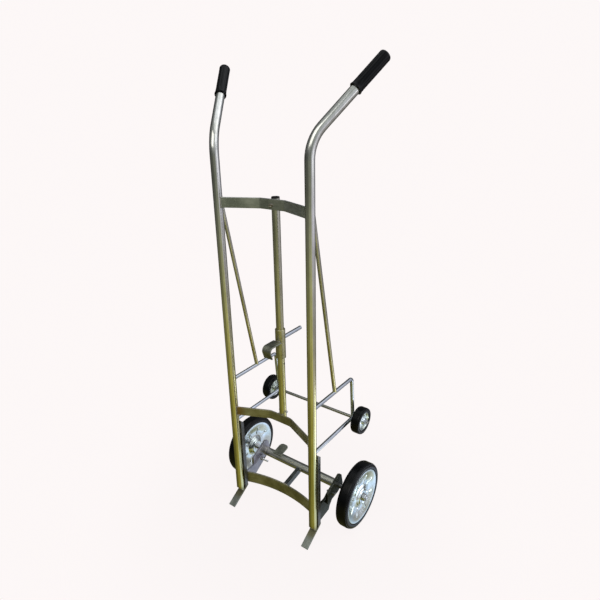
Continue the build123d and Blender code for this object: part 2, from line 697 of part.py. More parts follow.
def make_rear_wheel(side, name):
    axis = (REAR_AXLE_Y, REAR_AXLE_Z)
    x = side * REAR_WHEEL_X
    rim_inner, rim_outer = REAR_RIM_HALF
    rim_floor = REAR_HUB_RADIUS - REAR_RIM_DEPTH
    bead = ((rim_inner, REAR_HUB_RADIUS + BEAD_GAP), (rim_inner, rim_floor))
    outline = tyre_outline(
        REAR_WHEEL_RADIUS, REAR_WHEEL_WIDTH, REAR_WHEEL_SHOULDER, REAR_HUB_RADIUS, bead
    )
    save(spun(outline, x, axis, side), f"rear_tyre_{name}")

    bush_radius = REAR_BUSH_OD / 2
    boss = REAR_BUSH_HALF - REAR_BOSS_RECESS
    half_hub = [
        (rim_inner, rim_floor),
        (rim_inner, REAR_HUB_RADIUS),
        (rim_outer, REAR_HUB_RADIUS),
        (rim_outer, rim_floor),
        (REAR_WEB_HALF, rim_floor - REAR_BOSS_WALL[0]),
        (REAR_WEB_HALF, bush_radius + REAR_BOSS_WALL[1]),
        (boss, bush_radius + REAR_BOSS_WALL[0]),
        (boss, bush_radius),
    ]
    hub_outline = half_hub + [(-h, r) for h, r in reversed(half_hub)]
    save(spun(hub_outline, x, axis, side), f"rear_hub_{name}")

    bore = REAR_AXLE_OD + 2 * RUNNING_CLEARANCE
    ends = (x - REAR_BUSH_HALF, x + REAR_BUSH_HALF)
    save(ring(*ends, axis, REAR_BUSH_OD, bore), f"rear_bush_{name}")

    spacer_from = UPRIGHT_X + ROD_OD / 2 + REAR_SPACER_GAP
    spacer_to = REAR_WHEEL_X - REAR_BUSH_HALF - WHEEL_GAP
    washer_from = REAR_WHEEL_X + REAR_BUSH_HALF + WHEEL_GAP
    washer_to = washer_from + WASHER_THICKNESS
    with BuildPart() as washers:
        for x_from, x_to in ((spacer_from, spacer_to), (washer_from, washer_to)):
            with BuildSketch(axis_plane(side * x_from, axis)):
                Circle(REAR_WASHER_OD / 2)
                Circle(REAR_AXLE_OD / 2, mode=Mode.SUBTRACT)
            extrude(amount=side * (x_to - x_from))
    save(washers, f"rear_washers_{name}")

    nut_ends = sorted((side * washer_to, side * (washer_to + REAR_NUT[1])))
    save(hex_nut(*nut_ends, axis, REAR_NUT[0], REAR_AXLE_OD), f"rear_nut_{name}")


os.makedirs("parts", exist_ok=True)

make_bowed_bar("upper_crossbar", *UPPER_BAR)
make_bowed_bar("middle_crossbar", *MIDDLE_BAR)
crossbar = lower_crossbar()
save(crossbar, "lower_crossbar")
make_centre_tube()
make_hook()
make_axle()
make_pedal()
make_centre_link()
save(ring(-REAR_AXLE_END_X, REAR_AXLE_END_X, (REAR_AXLE_Y, REAR_AXLE_Z), REAR_AXLE_OD), "rear_axle")
for side, name in SIDES:
    make_upright(side, name)
    make_grip(side, name)
    make_leg(side, name)
    make_axle_arm(side, name, crossbar)
    make_main_wheel(side, name)
    make_side_frame(side, name)
    make_rear_wheel(side, name)
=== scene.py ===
import json
import math

import bmesh
import bpy
from mathutils import Matrix, Vector, noise

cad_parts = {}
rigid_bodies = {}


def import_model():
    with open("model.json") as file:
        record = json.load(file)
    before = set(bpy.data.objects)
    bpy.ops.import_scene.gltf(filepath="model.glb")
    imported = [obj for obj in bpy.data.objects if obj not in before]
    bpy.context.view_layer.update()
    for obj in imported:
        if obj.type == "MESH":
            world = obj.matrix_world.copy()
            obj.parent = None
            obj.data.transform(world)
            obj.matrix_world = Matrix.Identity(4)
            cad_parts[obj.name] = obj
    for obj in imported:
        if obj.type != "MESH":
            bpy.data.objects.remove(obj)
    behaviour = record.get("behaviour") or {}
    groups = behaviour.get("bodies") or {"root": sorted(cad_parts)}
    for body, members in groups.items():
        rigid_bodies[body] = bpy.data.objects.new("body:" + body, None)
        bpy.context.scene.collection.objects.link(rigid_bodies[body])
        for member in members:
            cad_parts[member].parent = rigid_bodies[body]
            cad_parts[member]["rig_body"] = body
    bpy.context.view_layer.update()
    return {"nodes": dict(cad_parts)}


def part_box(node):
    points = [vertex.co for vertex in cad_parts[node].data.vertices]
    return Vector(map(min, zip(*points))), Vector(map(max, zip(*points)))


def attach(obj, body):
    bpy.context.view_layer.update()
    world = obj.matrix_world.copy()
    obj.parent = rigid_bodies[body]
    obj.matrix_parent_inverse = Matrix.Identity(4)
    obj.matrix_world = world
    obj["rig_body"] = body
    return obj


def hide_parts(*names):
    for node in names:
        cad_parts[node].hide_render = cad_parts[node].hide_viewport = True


# The looks of a plated steel drum dolly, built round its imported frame. Metres, +Z up, +X to the
# right of someone who faces along +Y from the drum side. Bent and flat bars get eased edges, joints
# get weld beads, and the wheels, grips, nuts and bolts are modelled again in finer detail. The
# sections of those turned pieces are in millimetres and become metres when they are turned.

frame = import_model()
NODES = frame["nodes"]
SIDES = ((-1, "left"), (1, "right"))
X_AXIS = Vector((1, 0, 0))
Z_AXIS = Vector((0, 0, 1))
MM = 0.001

# Radii of the round pieces that others are welded to
UPRIGHT_RADIUS = 0.015
SLEEVE_RADIUS = 0.018
REAR_AXLE_RADIUS = 0.006

# Camera: where it stands, which way it looks and its lens
CAMERA_PLACE = Vector((0.988, -1.2782, 1.508))
CAMERA_RIGHT = Vector((0.8066, 0.5908, -0.0174))
CAMERA_UP = Vector((-0.2100, 0.3140, 0.9259))
CAMERA_BACK = Vector((0.5525, -0.7432, 0.3774))
CAMERA_LENS = 29.39
CAMERA_SHIFT = (0.0013, 0.017)
SENSOR_WIDTH = 36.0

BACKDROP = (0.98, 0.935, 0.932, 1)
SHARP_ANGLE = math.radians(32)


# ---------------------------------------------------------------- shader nodes


class Graph:
    """Adds shader nodes to one tree and links them."""

    def __init__(self, tree):
        self.tree = tree
        tree.nodes.clear()

    def node(self, kind, inputs=None, **settings):
        made = self.tree.nodes.new("ShaderNode" + kind)
        for key, value in settings.items():
            setattr(made, key, value)
        for key, value in (inputs or {}).items():
            if isinstance(value, bpy.types.NodeSocket):
                self.tree.links.new(value, made.inputs[key])
            else:
                made.inputs[key].default_value = value
        return made

    def link(self, socket, node, name):
        self.tree.links.new(socket, node.inputs[name])

    def noise(self, place, scale, detail, roughness):
        inputs = {"Vector": place, "Scale": scale, "Detail": detail, "Roughness": roughness}
        return self.node("TexNoise", inputs).outputs["Fac"]

    def math(self, operation, a, b, clamp=False):
        return self.node("Math", {0: a, 1: b}, operation=operation, use_clamp=clamp).outputs[0]

    def stretch(self, place, scales):
        return self.node("VectorMath", {0: place, 1: scales}, operation="MULTIPLY").outputs[0]

    def dot(self, a, b):
        return self.node("VectorMath", {0: a, 1: b}, operation="DOT_PRODUCT").outputs["Value"]

    def remap(self, value, low, high, to_low=0.0, to_high=1.0):
        inputs = {0: value, 1: low, 2: high, 3: to_low, 4: to_high}
        return self.node("MapRange", inputs, interpolation_type="SMOOTHSTEP").outputs[0]

    def upper_half(self, value):
        """Takes -1 to 0, 0 to a half and 1 to 1."""
        return self.node("Math", {0: value, 1: 0.5, 2: 0.5}, operation="MULTIPLY_ADD").outputs[0]

    def grey(self, value):
        return self.node("CombineXYZ", {0: value, 1: value, 2: value}).outputs[0]

    def mix(self, factor, a, b, blend="MIX"):
        inputs = {"Fac": factor, "Color1": a, "Color2": b}
        return self.node("MixRGB", inputs, blend_type=blend).outputs[0]

    def multiply(self, a, b):
        return self.mix(1.0, a, b, "MULTIPLY")

    def ramp(self, value, stops):
        made = self.node("ValToRGB", {"Fac": value})
        elements = made.color_ramp.elements
        while len(elements) < len(stops):
            elements.new(0.5)
        for element, (position, color) in zip(elements, stops):
            element.position = position
            element.color = color
        return made.outputs["Color"]

    def bump(self, height, strength, distance, normal=None):
        inputs = {"Height": height, "Strength": strength, "Distance": distance}
        if normal is not None:
            inputs["Normal"] = normal
        return self.node("Bump", inputs).outputs["Normal"]

    def edges(self, radius):
        """About 1 on edges that hands and use have rubbed, 0 on flat faces."""
        rounded = self.node("Bevel", {"Radius": radius}, samples=4).outputs["Normal"]
        true = self.node("NewGeometry").outputs["Normal"]
        return self.remap(self.dot(rounded, true), 0.995, 0.86)


def rgb(red, green, blue):
    return (red, green, blue, 1.0)


def new_material(name, shader_inputs):
    """A Principled material: its graph, the object coordinates and its shader."""
    material = bpy.data.materials.new(name)
    material.use_nodes = True
    graph = Graph(material.node_tree)
    output = graph.node("OutputMaterial")
    shader = graph.node("BsdfPrincipled", shader_inputs)
    graph.link(shader.outputs[0], output, "Surface")
    place = graph.node("TexCoord").outputs["Object"]
    return material, graph, place, shader


# ---------------------------------------------------------------- materials


STAIN = rgb(0.16, 0.145, 0.085)
SCORCHED = rgb(0.060, 0.050, 0.025)
SCORCH_FADE = 0.032
HEAT_TINTS = ((0.3, rgb(0.24, 0.115, 0.035)), (0.7, rgb(0.42, 0.26, 0.10)))
RUBBED = rgb(0.78, 0.78, 0.76)
RUBBED_RADIUS = 0.0016
LINE_DEPTH = 0.0005
CLOUD_DEPTH = 0.0008
SKIN_DEPTH = 0.0002


def metal(
    name, dark, light, roughness, grain, patch, relief, worn=0.0, tint=None, heat=None, scorch=None
):
    """Zinc plated steel: cloudy colour, drawn lines, stains, and rubbed edges where worn is above 0.

    roughness is its lowest and highest value, grain the fineness of the drawn lines along each axis,
    patch the fineness of the clouds, and relief how far both stand out; smooth tube has relief 0.
    tint is (height, height, colour): full at the first height and past it, none at the second; on the
    uprights, centre tube, rods and stays it is painted reflection.
    heat is two places along X: the plating is plain at the first and brown from the second on.
    scorch is the height below which welding has turned the plating brown.
    """
    material, graph, place, shader = new_material(name, {"Metallic": 1.0, "Specular IOR Level": 0.5})
    clouds = graph.noise(place, patch, 6.0, 0.62)
    drawn = graph.noise(graph.stretch(place, grain), 1.0, 5.0, 0.65)
    spots = graph.noise(place, 95.0, 5.0, 0.7)
    split = graph.node("SeparateXYZ", {0: place})
    across, height = split.outputs[0], split.outputs[2]
    stain_strength, stain_roughness = (0.38, 0.5) if relief else (0.16, 0.12)

    color = graph.ramp(clouds, ((0.32, dark), (0.68, light)))
    color = graph.multiply(color, graph.grey(graph.remap(drawn, 0.25, 0.75, 0.80, 1.08)))
    stained = graph.remap(spots, 0.60, 0.74, 0.0, stain_strength)
    color = graph.mix(stained, color, STAIN)
    # Colour that changes with height: painted reflection on the uprights, centre tube, rods and stays
    if tint is not None:
        full, none, tint_color = tint
        tinted = graph.remap(height, full, none, 1.0, 0.0)
        color = graph.mix(tinted, color, graph.multiply(color, tint_color))
    if heat is not None:
        ragged = graph.math("ADD", across, graph.math("MULTIPLY", spots, -0.02))
        heated = graph.remap(ragged, heat[0], heat[1], 0.0, 0.75)
        color = graph.mix(heated, color, graph.ramp(clouds, HEAT_TINTS))
    if scorch is not None:
        burnt = graph.remap(height, scorch - SCORCH_FADE, scorch, 0.75, 0.0)
        color = graph.mix(burnt, color, SCORCHED)
    if worn:
        color = graph.mix(graph.math("MULTIPLY", graph.edges(RUBBED_RADIUS), worn), color, RUBBED)
    graph.link(color, shader, "Base Color")

    rough = graph.remap(clouds, 0.3, 0.7, roughness[0], roughness[1])
    if relief:
        speckle = graph.noise(place, 420.0, 2.0, 0.6)
        rough = graph.math("ADD", rough, graph.remap(speckle, 0.35, 0.7, -0.05, 0.08))
        lines = graph.bump(drawn, relief, LINE_DEPTH)
        graph.link(graph.bump(clouds, relief, CLOUD_DEPTH, lines), shader, "Normal")
    stain_added = graph.math("MULTIPLY", stained, stain_roughness)
    graph.link(graph.math("ADD", rough, stain_added, clamp=True), shader, "Roughness")
    return material


def rubber(name, color, dusty, roughness, relief, shine=0.13):
    """Black rubber or plastic with a fine skin, faint streaks of dust and an uneven polish."""
    fixed = {"Metallic": 0.0, "IOR": 1.45, "Specular IOR Level": shine}
    material, graph, place, shader = new_material(name, fixed)
    clouds = graph.noise(place, 14.0, 5.0, 0.6)
    skin = graph.noise(place, 900.0, 3.0, 0.6)
    scuffs = graph.noise(graph.stretch(place, (60.0, 60.0, 9.0)), 3.0, 6.0, 0.7)
    dust = graph.math("MULTIPLY", graph.remap(scuffs, 0.52, 0.72), graph.remap(clouds, 0.4, 0.65))
    graph.link(graph.mix(graph.math("MULTIPLY", dust, 0.6), color, dusty), shader, "Base Color")
    polish = graph.remap(clouds, 0.3, 0.7, roughness[0], roughness[1])
    rough = graph.math("ADD", polish, graph.math("MULTIPLY", dust, 0.25))
    graph.link(rough, shader, "Roughness")
    graph.link(graph.bump(skin, relief, SKIN_DEPTH), shader, "Normal")
    return material


def make_plating():
    """Materials of the bars, tubes, rods, wheel centres, nuts and welds."""
    # Painted reflection: the uprights and the centre tube turn yellower towards the bottom, for the
    # olive ground they reflect there
    ground_reflection_tint = (0.45, 1.15, rgb(1.0, 0.93, 0.50))
    return {
        "upright": metal(
            "upright_plate", rgb(0.54, 0.54, 0.48), rgb(0.76, 0.76, 0.73), roughness=(0.15, 0.23),
            grain=(150, 150, 7), patch=5.0, relief=0.0, tint=ground_reflection_tint, scorch=0.082,
        ),
        "tube": metal(
            "tube_plate", rgb(0.46, 0.45, 0.36), rgb(0.64, 0.63, 0.53), roughness=(0.22, 0.34),
            grain=(150, 150, 7), patch=7.0, relief=0.0, tint=ground_reflection_tint,
        ),
        "sleeve": metal(
            "sleeve_plate", rgb(0.38, 0.36, 0.20), rgb(0.64, 0.60, 0.40), roughness=(0.26, 0.42),
            grain=(90, 90, 9), patch=24.0, relief=0.05,
        ),
        "axle_tube": metal(
            "axle_tube_plate", rgb(0.54, 0.54, 0.47), rgb(0.78, 0.77, 0.70), roughness=(0.26, 0.38),
            grain=(6, 240, 240), patch=9.0, relief=0.0,
        ),
        # Painted reflection: the rods turn bluer towards the bottom
        "rod": metal(
            "rod_plate", rgb(0.50, 0.50, 0.46), rgb(0.70, 0.71, 0.70), roughness=(0.14, 0.22),
            grain=(60, 6, 60), patch=8.0, relief=0.0, tint=(0.75, 0.95, rgb(0.92, 0.97, 1.10)),
        ),
        # Painted reflection: the stays turn yellower towards the bottom, like the uprights
        "stay": metal(
            "stay_plate", rgb(0.46, 0.45, 0.36), rgb(0.66, 0.65, 0.55), roughness=(0.18, 0.28),
            grain=(150, 150, 7), patch=8.0, relief=0.0, tint=(0.55, 1.0, rgb(1.0, 0.90, 0.52)),
        ),
        "cross_rod": metal(
            "cross_rod_plate", rgb(0.44, 0.43, 0.37), rgb(0.62, 0.61, 0.55), roughness=(0.20, 0.30),
            grain=(6, 60, 60), patch=8.0, relief=0.0,
        ),
        "bar": metal(
            "bar_plate", rgb(0.28, 0.26, 0.17), rgb(0.58, 0.55, 0.38), roughness=(0.34, 0.50),
            grain=(9, 9, 190), patch=14.0, relief=0.08, worn=0.45,
        ),
        "bar_grey": metal(
            "bar_plate_grey", rgb(0.44, 0.47, 0.45), rgb(0.70, 0.72, 0.69), roughness=(0.30, 0.44),
            grain=(9, 9, 190), patch=12.0, relief=0.06, worn=0.45,
        ),
        "bar_heated": metal(
            "bar_plate_heated", rgb(0.28, 0.26, 0.17), rgb(0.57, 0.54, 0.37), roughness=(0.34, 0.50),
            grain=(9, 9, 190), patch=14.0, relief=0.08, worn=0.45, heat=(-0.140, -0.172),
        ),
        # Painted shade: the leg bars are made much darker than the other bars, for the shade they lie
        # in behind the uprights
        "leg": metal(
            "leg_plate_painted_shade", rgb(0.11, 0.11, 0.105), rgb(0.24, 0.235, 0.235), roughness=(0.28, 0.42),
            grain=(190, 190, 8), patch=14.0, relief=0.08, worn=0.45,
        ),
        "plate": metal(
            "plate_grey", rgb(0.20, 0.205, 0.160), rgb(0.40, 0.41, 0.33), roughness=(0.38, 0.54),
            grain=(70, 40, 40), patch=30.0, relief=0.12, worn=0.4,
        ),
        "toe": metal(
            "toe_grey", rgb(0.25, 0.264, 0.228), rgb(0.37, 0.392, 0.340), roughness=(0.42, 0.56),
            grain=(70, 12, 70), patch=26.0, relief=0.06, worn=0.3,
            tint=(0.036, 0.022, rgb(0.60, 0.54, 0.36)),
        ),
        # Lit and shaded copies of one plating: the left arm is lighter and violet for painted
        # reflection, the right arm near black for painted shade
        "arm_left": metal(
            "arm_plate_lit_left", rgb(0.26, 0.255, 0.28), rgb(0.48, 0.47, 0.52), roughness=(0.32, 0.46),
            grain=(60, 30, 60), patch=24.0, relief=0.12, worn=0.55,
        ),
        "arm_right": metal(
            "arm_plate_shaded_right", rgb(0.032, 0.036, 0.026), rgb(0.095, 0.102, 0.080),
            roughness=(0.30, 0.46), grain=(60, 30, 60), patch=24.0, relief=0.12, worn=0.35,
        ),
        "link": metal(
            "link_plate", rgb(0.075, 0.08, 0.075), rgb(0.17, 0.178, 0.17), roughness=(0.28, 0.42),
            grain=(120, 8, 120), patch=20.0, relief=0.06, worn=0.5,
        ),
        # Bluish zinc colour; its cloud patches of olive grey and bluish white are painted reflection of
        # the pressed disc
        "hub": metal(
            "hub_zinc_painted_reflection", rgb(0.60, 0.66, 0.56), rgb(0.84, 0.92, 1.0), roughness=(0.12, 0.22),
            grain=(30, 30, 30), patch=13.0, relief=0.04,
        ),
        "fastener": metal(
            "fastener_zinc", rgb(0.50, 0.50, 0.50), rgb(0.76, 0.76, 0.77), roughness=(0.18, 0.30),
            grain=(200, 60, 60), patch=30.0, relief=0.0,
        ),
        "weld": metal(
            "weld_bead", rgb(0.26, 0.23, 0.18), rgb(0.58, 0.56, 0.52), roughness=(0.26, 0.46),
            grain=(90, 90, 90), patch=60.0, relief=0.2,
        ),
    }


def make_rubbers():
    """Materials of the tyres, grips, cap and bushes."""
    return {
        "tyre": rubber(
            "tyre_rubber", rgb(0.0015, 0.0016, 0.002), rgb(0.005, 0.005, 0.005),
            roughness=(0.20, 0.30), relief=0.06, shine=0.24,
        ),
        "grip": rubber(
            "grip_rubber", rgb(0.0014, 0.0014, 0.002), rgb(0.004, 0.004, 0.005),
            roughness=(0.18, 0.26), relief=0.06, shine=0.16,
        ),
        "cap": rubber(
            "cap_plastic", rgb(0.010, 0.009, 0.008), rgb(0.03, 0.028, 0.025),
            roughness=(0.35, 0.5), relief=0.2,
        ),
        "bush": rubber(
            "bush_plastic", rgb(0.010, 0.010, 0.012), rgb(0.04, 0.04, 0.04),
            roughness=(0.35, 0.5), relief=0.1,
        ),
    }


MATERIALS = {**make_plating(), **make_rubbers()}


# ---------------------------------------------------------------- mesh helpers


def add_piece(name, made, material, body, replaced=()):
    """Turns a bmesh into a smooth shaded piece that rides on a body of the frame."""
    bmesh.ops.remove_doubles(made, verts=made.verts, dist=1e-6)
    bmesh.ops.recalc_face_normals(made, faces=made.faces)
    for face in made.faces:
        face.smooth = True
    for edge in made.edges:
        edge.smooth = edge.calc_face_angle(0.0) < SHARP_ANGLE
    mesh = bpy.data.meshes.new(name)
    made.to_mesh(mesh)
    made.free()
    mesh.materials.append(MATERIALS[material])
    piece = bpy.data.objects.new(name, mesh)
    bpy.context.scene.collection.objects.link(piece)
    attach(piece, body)
    if replaced:
        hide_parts(*replaced)
    return piece


def axes_across(along):
    """Two unit vectors square to a direction and to each other."""
    helper = Z_AXIS if abs(along.z) < 0.9 else X_AXIS
    across = along.cross(helper).normalized()
    return across, along.cross(across).normalized()


def skin_rings(made, rings, closed):
    """Faces between each ring of vertices and the next."""
    pairs = list(zip(rings, rings[1:]))
    if closed:
        pairs.append((rings[-1], rings[0]))
    count = len(rings[0])
    for first, second in pairs:
        for k in range(count):
            n = (k + 1) % count
            made.faces.new((first[k], first[n], second[n], second[k]))


def spin(profile, origin, along, steps, closed=False, shape=None):
    """A bmesh turned from (distance along the axis, radius) points; shape may move each by angle."""
    across, up = axes_across(along)
    made = bmesh.new()
    rings = []
    for a, r in profile:
        ring = []
        for k in range(steps):
            angle = 2 * math.pi * k / steps
            at, out = (a, r) if shape is None else shape(a, r, angle)
            direction = across * math.cos(angle) + up * math.sin(angle)
            ring.append(made.verts.new(origin + along * at + direction * out))
        rings.append(ring)
    skin_rings(made, rings, closed)
    return made


def cap_ends(made):
    """Closes the open rings of a turned piece with flat faces."""
    open_edges = [edge for edge in made.edges if edge.is_boundary]
    bmesh.ops.holes_fill(made, edges=open_edges, sides=0)


def take_in(made, other):
    """Moves what another bmesh holds into this one."""
    mesh = bpy.data.meshes.new("carrier")
    other.to_mesh(mesh)
    other.free()
    made.from_mesh(mesh)
    bpy.data.meshes.remove(mesh)


def middle(node):
    low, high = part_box(node)
    return (low + high) / 2


def scaled(points):
    """Millimetre points in metres."""
    return [(a * MM, r * MM) for a, r in points]


def step(low, high, value):
    """0 at low, 1 at high and a smooth rise between them."""
    t = max(0.0, min(1.0, (value - low) / (high - low)))
    return t * t * (3 - 2 * t)


def blend_between(points, value):
    """Height at a position, smoothly between (position, height) points."""
    if value <= points[0][0]:
        return points[0][1]
    for (x0, y0), (x1, y1) in zip(points, points[1:]):
        if value <= x1:
            return y0 + (y1 - y0) * step(x0, x1, value)
    return points[-1][1]


# ---------------------------------------------------------------- eased bars and plates


BEVEL_ANGLE = math.radians(35)


def eased(node, kind, width, material):
    """A copy of a bar or plate with its edges rolled over, in place of the sharp one."""
    made = bmesh.new()
    made.from_mesh(NODES[node].data)
    bmesh.ops.remove_doubles(made, verts=made.verts, dist=2e-6)
    bmesh.ops.dissolve_limit(
        made, angle_limit=math.radians(1.0), verts=made.verts, edges=made.edges, delimit=set()
    )
    piece = add_piece(f"{node}_{kind}", made, material, NODES[node]["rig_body"], (node,))
    bevel = piece.modifiers.new("eased_edges", "BEVEL")
    bevel.width = width
    bevel.segments = 3
    bevel.limit_method = "ANGLE"
    bevel.angle_limit = BEVEL_ANGLE
    bevel.use_clamp_overlap = True
    bevel.harden_normals = False
    weighted = piece.modifiers.new("flat_faces", "WEIGHTED_NORMAL")
    weighted.keep_sharp = True


def make_bars():
    eased("upper_crossbar", "bar", 0.0009, "bar_grey")
    eased("middle_crossbar", "bar", 0.0009, "bar_heated")
    eased("lower_crossbar", "bar", 0.0010, "bar")
    eased("centre_link", "tube", 0.0016, "link")
    eased("foot_pedal", "plate", 0.0012, "plate")
    eased("hook_plate", "bent", 0.0012, "plate")
    eased("centre_tube_cap", "moulded", 0.0008, "cap")
    for _, name in SIDES:
        eased(f"toe_bar_{name}", "bar", 0.0010, "toe")
        eased(f"leg_bar_{name}", "bar", 0.0010, "leg")
        eased(f"axle_arm_{name}", "plate", 0.0012, f"arm_{name}")
        eased(f"arm_bracket_{name}", "plate", 0.0012, f"arm_{name}")


# ---------------------------------------------------------------- wheels


TYRE_STEPS = 144
MAIN_HUB_STEPS = 160
REAR_HUB_STEPS = 120
MAIN_RIBS = 8
REAR_RIBS = 5
# Radii, half widths and sheet in millimetres. A seat is the part of a tyre's section that holds
# its hub, and a boss is the half width of a hub at its middle.
MAIN_HUB_BORE = 13.2
MAIN_HUB_RIM = 107.0
OUTER_BOSS = 24.0
INNER_BOSS = 30.7
MAIN_SHOULDER = 13.0
MAIN_SEAT = [(21.4, 107.4), (19.8, 106.0), (19.8, 97.2), (10.3, 88.2), (0.0, 88.0)]
SHEET_THICKNESS = 2.0
REAR_HUB_BORE = 9.2
REAR_HUB_RIM = 35.8
REAR_BOSS = 19.0
REAR_RIM_HALF = 15.4
REAR_SHOULDER = 8.0
REAR_TYRE_RIM = 36.0
REAR_SEAT = [(13.2, 36.2), (12.8, 33.0), (0.0, 33.0)]


def tyre_profile(radius, half, shoulder, rim, seat):
    """Closed section of a solid tyre: crowned tread, rounded shoulders, a line moulded on each."""
    steps = 14
    line_step = 7
    line_heights = {line_step - 1: -0.5, line_step: 0.7, line_step + 1: -0.5}
    arc = []
    for i in range(steps + 1):
        angle = math.pi / 2 * i / steps
        reach = shoulder + line_heights.get(i, 0.0)
        at = half - shoulder + reach * math.sin(angle)
        arc.append((at, radius - shoulder + reach * math.cos(angle)))
    wall = [(half, radius - shoulder - 2), (half - 0.3, rim + 2.4), (half - 1.1, rim + 1.8)]
    wall += [(half - 0.8, rim + 1.2), (half - 1.3, rim + 0.5)]
    right = [(0.0, radius), (half - shoulder - 4, radius - 0.05)] + arc + wall + seat
    return right + [(-a, r) for a, r in reversed(right[1:])]


def make_tyre(node, body, shoulder, rim, seat):
    low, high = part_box(node)
    half = (high.x - low.x) / 2 / MM
    radius = (high.z - low.z) / 2 / MM
    profile = scaled(tyre_profile(radius, half, shoulder, rim, seat))
    made = spin(profile, (low + high) / 2, X_AXIS, TYRE_STEPS, closed=True)
    add_piece(f"{node}_rubber", made, "tyre", body, (node,))


def from_rib(angle, r, ribs):
    """Distance at a radius from the middle line of the nearest rib of a wheel."""
    turn = (angle * ribs / (2 * math.pi)) % 1.0
    return abs(turn - 0.5) * 2 * math.pi * r / ribs


def spread(low, high, count):
    return [low + (high - low) * i / count for i in range(count + 1)]


def pressed_disc(boss):
    """Face of a pressed wheel disc: its height over the wheel's middle plane, by radius and angle."""
    dish = (
        (MAIN_HUB_BORE, boss),
        (24.0, boss),
        (29, boss - 4),
        (40, 14.5),
        (47, 13.0),
        (MAIN_HUB_RIM, 12.4),
    )

    def height(r, angle):
        flange = 10.0 * step(58, 108, r)
        rib = step(6.0, 1.5, from_rib(angle, r, MAIN_RIBS)) * step(48, 55, r) * step(88, 80, r)
        press = math.sin(3 * angle + 0.7) * step(46, 60, r) * step(98, 80, r)
        return blend_between(dish, r) + flange + 3.0 * rib + 0.25 * press

    return height


def make_main_hub(node, body, centre, outward, boss):
    height = pressed_disc(boss)

    def shape(a, r, angle):
        return height(r / MM, angle) * MM, r

    profile = [(0, r * MM) for r in spread(MAIN_HUB_BORE, MAIN_HUB_RIM, 58)]
    made = spin(profile, centre, X_AXIS * outward, MAIN_HUB_STEPS, shape=shape)
    piece = add_piece(f"{node}_pressed", made, "hub", body, (node,))
    sheet = piece.modifiers.new("sheet", "SOLIDIFY")
    sheet.thickness = SHEET_THICKNESS * MM
    sheet.offset = -1.0


def make_rear_hub(node, body, centre):
    """Small moulded metal wheel centre: rim, dished web with ribs and a boss, in one piece."""
    web = ((REAR_HUB_BORE, REAR_BOSS), (12.5, REAR_BOSS), (14.5, 17.0), (17, 10.5), (20, 9.2))
    web += ((27, 9.2), (31, 13), (33.2, 15.2))

    def face(r, angle):
        rib = step(4.5, 2.4, from_rib(angle, r, REAR_RIBS)) * step(16, 19, r) * step(33, 29, r)
        limit = REAR_RIM_HALF if r > 25 else REAR_BOSS
        return min(limit, blend_between(web, r) + 3.4 * rib)

    def shape(a, r, angle):
        return (1 if a > 0 else -1) * face(r / MM, angle) * MM, r

    radii = [r * MM for r in spread(REAR_HUB_BORE, REAR_HUB_RIM, 30)]
    profile = [(1, r) for r in radii] + [(-1, r) for r in reversed(radii)]
    made = spin(profile, centre, X_AXIS, REAR_HUB_STEPS, closed=True, shape=shape)
    add_piece(f"{node}_cast", made, "hub", body, (node,))


def make_wheels():
    for side, name in SIDES:
        tyre = f"main_tyre_{name}"
        body = f"main_wheel_{name}"
        make_tyre(tyre, body, MAIN_SHOULDER, MAIN_HUB_RIM, MAIN_SEAT)
        make_main_hub(f"main_hub_outer_{name}", body, middle(tyre), side, OUTER_BOSS)
        make_main_hub(f"main_hub_inner_{name}", body, middle(tyre), -side, INNER_BOSS)
        tyre = f"rear_tyre_{name}"
        body = f"rear_wheel_{name}"
        make_tyre(tyre, body, REAR_SHOULDER, REAR_TYRE_RIM, REAR_SEAT)
        make_rear_hub(f"rear_hub_{name}", body, middle(tyre))


# ---------------------------------------------------------------- grips


GRIP_STEPS = 120
GRIP_FLUTES = 10
# Direction of the right grip; the left one is its mirror image
GRIP_OUTWARD = 0.378
GRIP_BACKWARD = 0.629
GRIP_UPWARD = 0.679
# Millimetres
GRIP_RADIUS = 18.0
GRIP_END_ROUND = 7
FLUTE_DEPTH = 1.0
GRIP_LIP = [(2.0, 15.1), (0.2, 16.2), (0.0, 18.9), (0.9, 19.6), (2.6, 19.7), (4.2, 19.1), (6.5, 18.5)]
GRIP_COLLAR = [(12, 18.2), (18, 18.0)]


def grip_outline(length):
    """Distance and radius in millimetres: open end with its lip, collar, body and closed end."""
    start = GRIP_COLLAR[-1][0]
    outline = GRIP_LIP + GRIP_COLLAR
    outline += [(start + (length - 2 * start) * i / 24, GRIP_RADIUS) for i in range(1, 25)]
    for i in range(9):
        angle = math.pi / 2 * i / 8
        at = length - GRIP_END_ROUND + GRIP_END_ROUND * math.sin(angle)
        outline.append((at, GRIP_RADIUS - GRIP_END_ROUND + GRIP_END_ROUND * math.cos(angle)))
    return outline + [(length, 7.0), (length - 0.8, 5.6), (length - 0.8, 0.05)]


